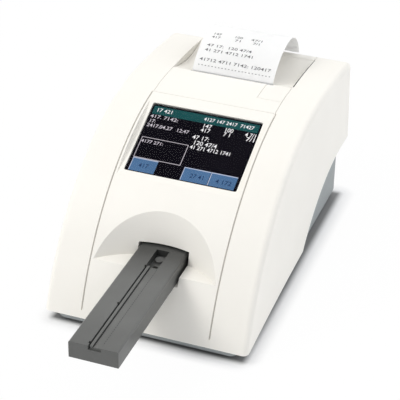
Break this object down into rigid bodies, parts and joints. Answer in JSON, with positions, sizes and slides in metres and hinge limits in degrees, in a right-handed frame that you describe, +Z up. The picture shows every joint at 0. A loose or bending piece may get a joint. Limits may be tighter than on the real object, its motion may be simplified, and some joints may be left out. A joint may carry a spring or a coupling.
{
  "type": "urine analyzer",
  "caption": "Bench-top strip reader with a slide-out strip tray in a scooped bay, a tilted display, and a paper printer under a hinged lid with a release button.",
  "frame": {"origin": "on the table, under the middle of the whole with the tray drawn out and the paper strip curled up", "axes": "+Z up, front with the tray towards -Y, +X to the right seen from the front"},
  "size_m": [0.1356, 0.2994, 0.1277],
  "materials": {
    "shell": "satin white moulded shell",
    "base": "fine grained grey",
    "feet": "matt black",
    "tray": "fine grained dark grey",
    "seat": "smooth grey",
    "pad": "matt dark grey",
    "window": "polished",
    "module": "dark display face",
    "steel": "bright zinc plated",
    "screws": "zinc plated",
    "head": "bare",
    "bush": "sintered",
    "platen_rubber": "ground",
    "gear": "natural",
    "inner_plastic": "matt black",
    "paper": "smooth thermal paper",
    "core": "raw",
    "lens": "polished",
    "lamp": "clear",
    "board": "green board",
    "chips": "moulded black",
    "key": "dark grey key"
  },
  "bodies": {
    "casing": {"board_chips": "chips", "board_screws": "screws", "bottom_case": "base", "bracket_screws": "screws", "button_spring": "steel", "case_screws": "screws", "display_bracket": "steel", "display_module": "module", "display_window": "window", "guide_screws": "screws", "head_springs": "steel", "idler_pin": "steel", "latch_pin": "steel", "lid_hinge_pin": "steel", "light_detector": "chips", "main_board": "board", "optical_head": "inner_plastic", "optics_board": "board", "optics_lamps": "lamp", "optics_lens": "lens", "paper_bucket": "inner_plastic", "paper_web": "paper", "power_jack": "chips", "print_head": "head", "printer_frame": "steel", "printer_motor": "steel", "printer_panel": "shell", "printer_screws": "screws", "rubber_feet": "feet", "serial_socket": "steel", "switch_housing": "chips", "tear_bar": "steel", "top_cover": "shell", "tray_guide": "inner_plastic", "tray_motor": "steel", "usb_socket": "steel"},
    "tray": {"strip_tray": "tray", "strip_seat": "seat", "calibration_pad": "pad", "tray_rack": "gear"},
    "pinion": {"tray_pinion": "gear"},
    "lid": {"paper_lid": "shell", "platen_bushes": "bush", "paper_strip": "paper"},
    "platen": {"platen_roller": "platen_rubber", "platen_spindle": "steel", "platen_gear": "gear"},
    "idler": {"idler_gear": "gear"},
    "motor_rotor": {"motor_gear": "gear"},
    "roll": {"paper_roll": "paper", "roll_core": "core"},
    "release_button": {"lid_release_button": "shell"},
    "latch": {"lid_latch": "inner_plastic"},
    "power_key": {"power_button": "key", "switch_spring": "steel"}
  },
  "joints": [
    {"name": "tray_slide", "type": "slide", "parent": "casing", "child": "tray", "axis": [0, 1, 0], "range_m": [0, 0.09]},
    {"name": "tray_pinion_spin", "type": "hinge", "parent": "casing", "child": "pinion", "pos_m": [0, -0.01025, 0.0316], "axis": [-1, 0, 0], "range_deg": [0, 650]},
    {"name": "paper_lid_hinge", "type": "hinge", "parent": "casing", "child": "lid", "pos_m": [0, 0.1419, 0.10261], "axis": [-1, 0, 0], "range_deg": [0, 80]},
    {"name": "platen_spin", "type": "hinge", "parent": "lid", "child": "platen", "pos_m": [0, 0.0893, 0.0995], "axis": [-1, 0, 0], "continuous": true},
    {"name": "idler_spin", "type": "hinge", "parent": "casing", "child": "idler", "pos_m": [0, 0.08465, 0.08672], "axis": [-1, 0, 0], "continuous": true},
    {"name": "printer_motor_spin", "type": "hinge", "parent": "casing", "child": "motor_rotor", "pos_m": [0, 0.07337, 0.08262], "axis": [-1, 0, 0], "continuous": true},
    {"name": "roll_spin", "type": "hinge", "parent": "casing", "child": "roll", "pos_m": [0, 0.11325, 0.07704], "axis": [-1, 0, 0], "continuous": true},
    {"name": "release_button_press", "type": "slide", "parent": "casing", "child": "release_button", "axis": [0, 0, -1], "range_m": [0, 0.0015], "stiffness_N_per_m": 400, "springref_m": -0.002, "deforming": ["button_spring"]},
    {"name": "latch_tilt", "type": "hinge", "parent": "casing", "child": "latch", "pos_m": [0, 0.07625, 0.092], "axis": [1, 0, 0], "range_deg": [0, 13]},
    {"name": "power_button_press", "type": "slide", "parent": "casing", "child": "power_key", "axis": [0, -1, 0], "range_m": [0, 0.002], "stiffness_N_per_m": 500, "springref_m": -0.002}
  ],
  "couplings": [
    {"joint": "tray_pinion_spin", "follows": "tray_slide", "rad_per_m": 125},
    {"joint": "idler_spin", "follows": "platen_spin", "ratio": -0.7},
    {"joint": "printer_motor_spin", "follows": "platen_spin", "ratio": 1.4},
    {"joint": "roll_spin", "follows": "platen_spin", "ratio": 0.25},
    {"joint": "latch_tilt", "follows": "release_button_press", "rad_per_m": 146.7}
  ]
}
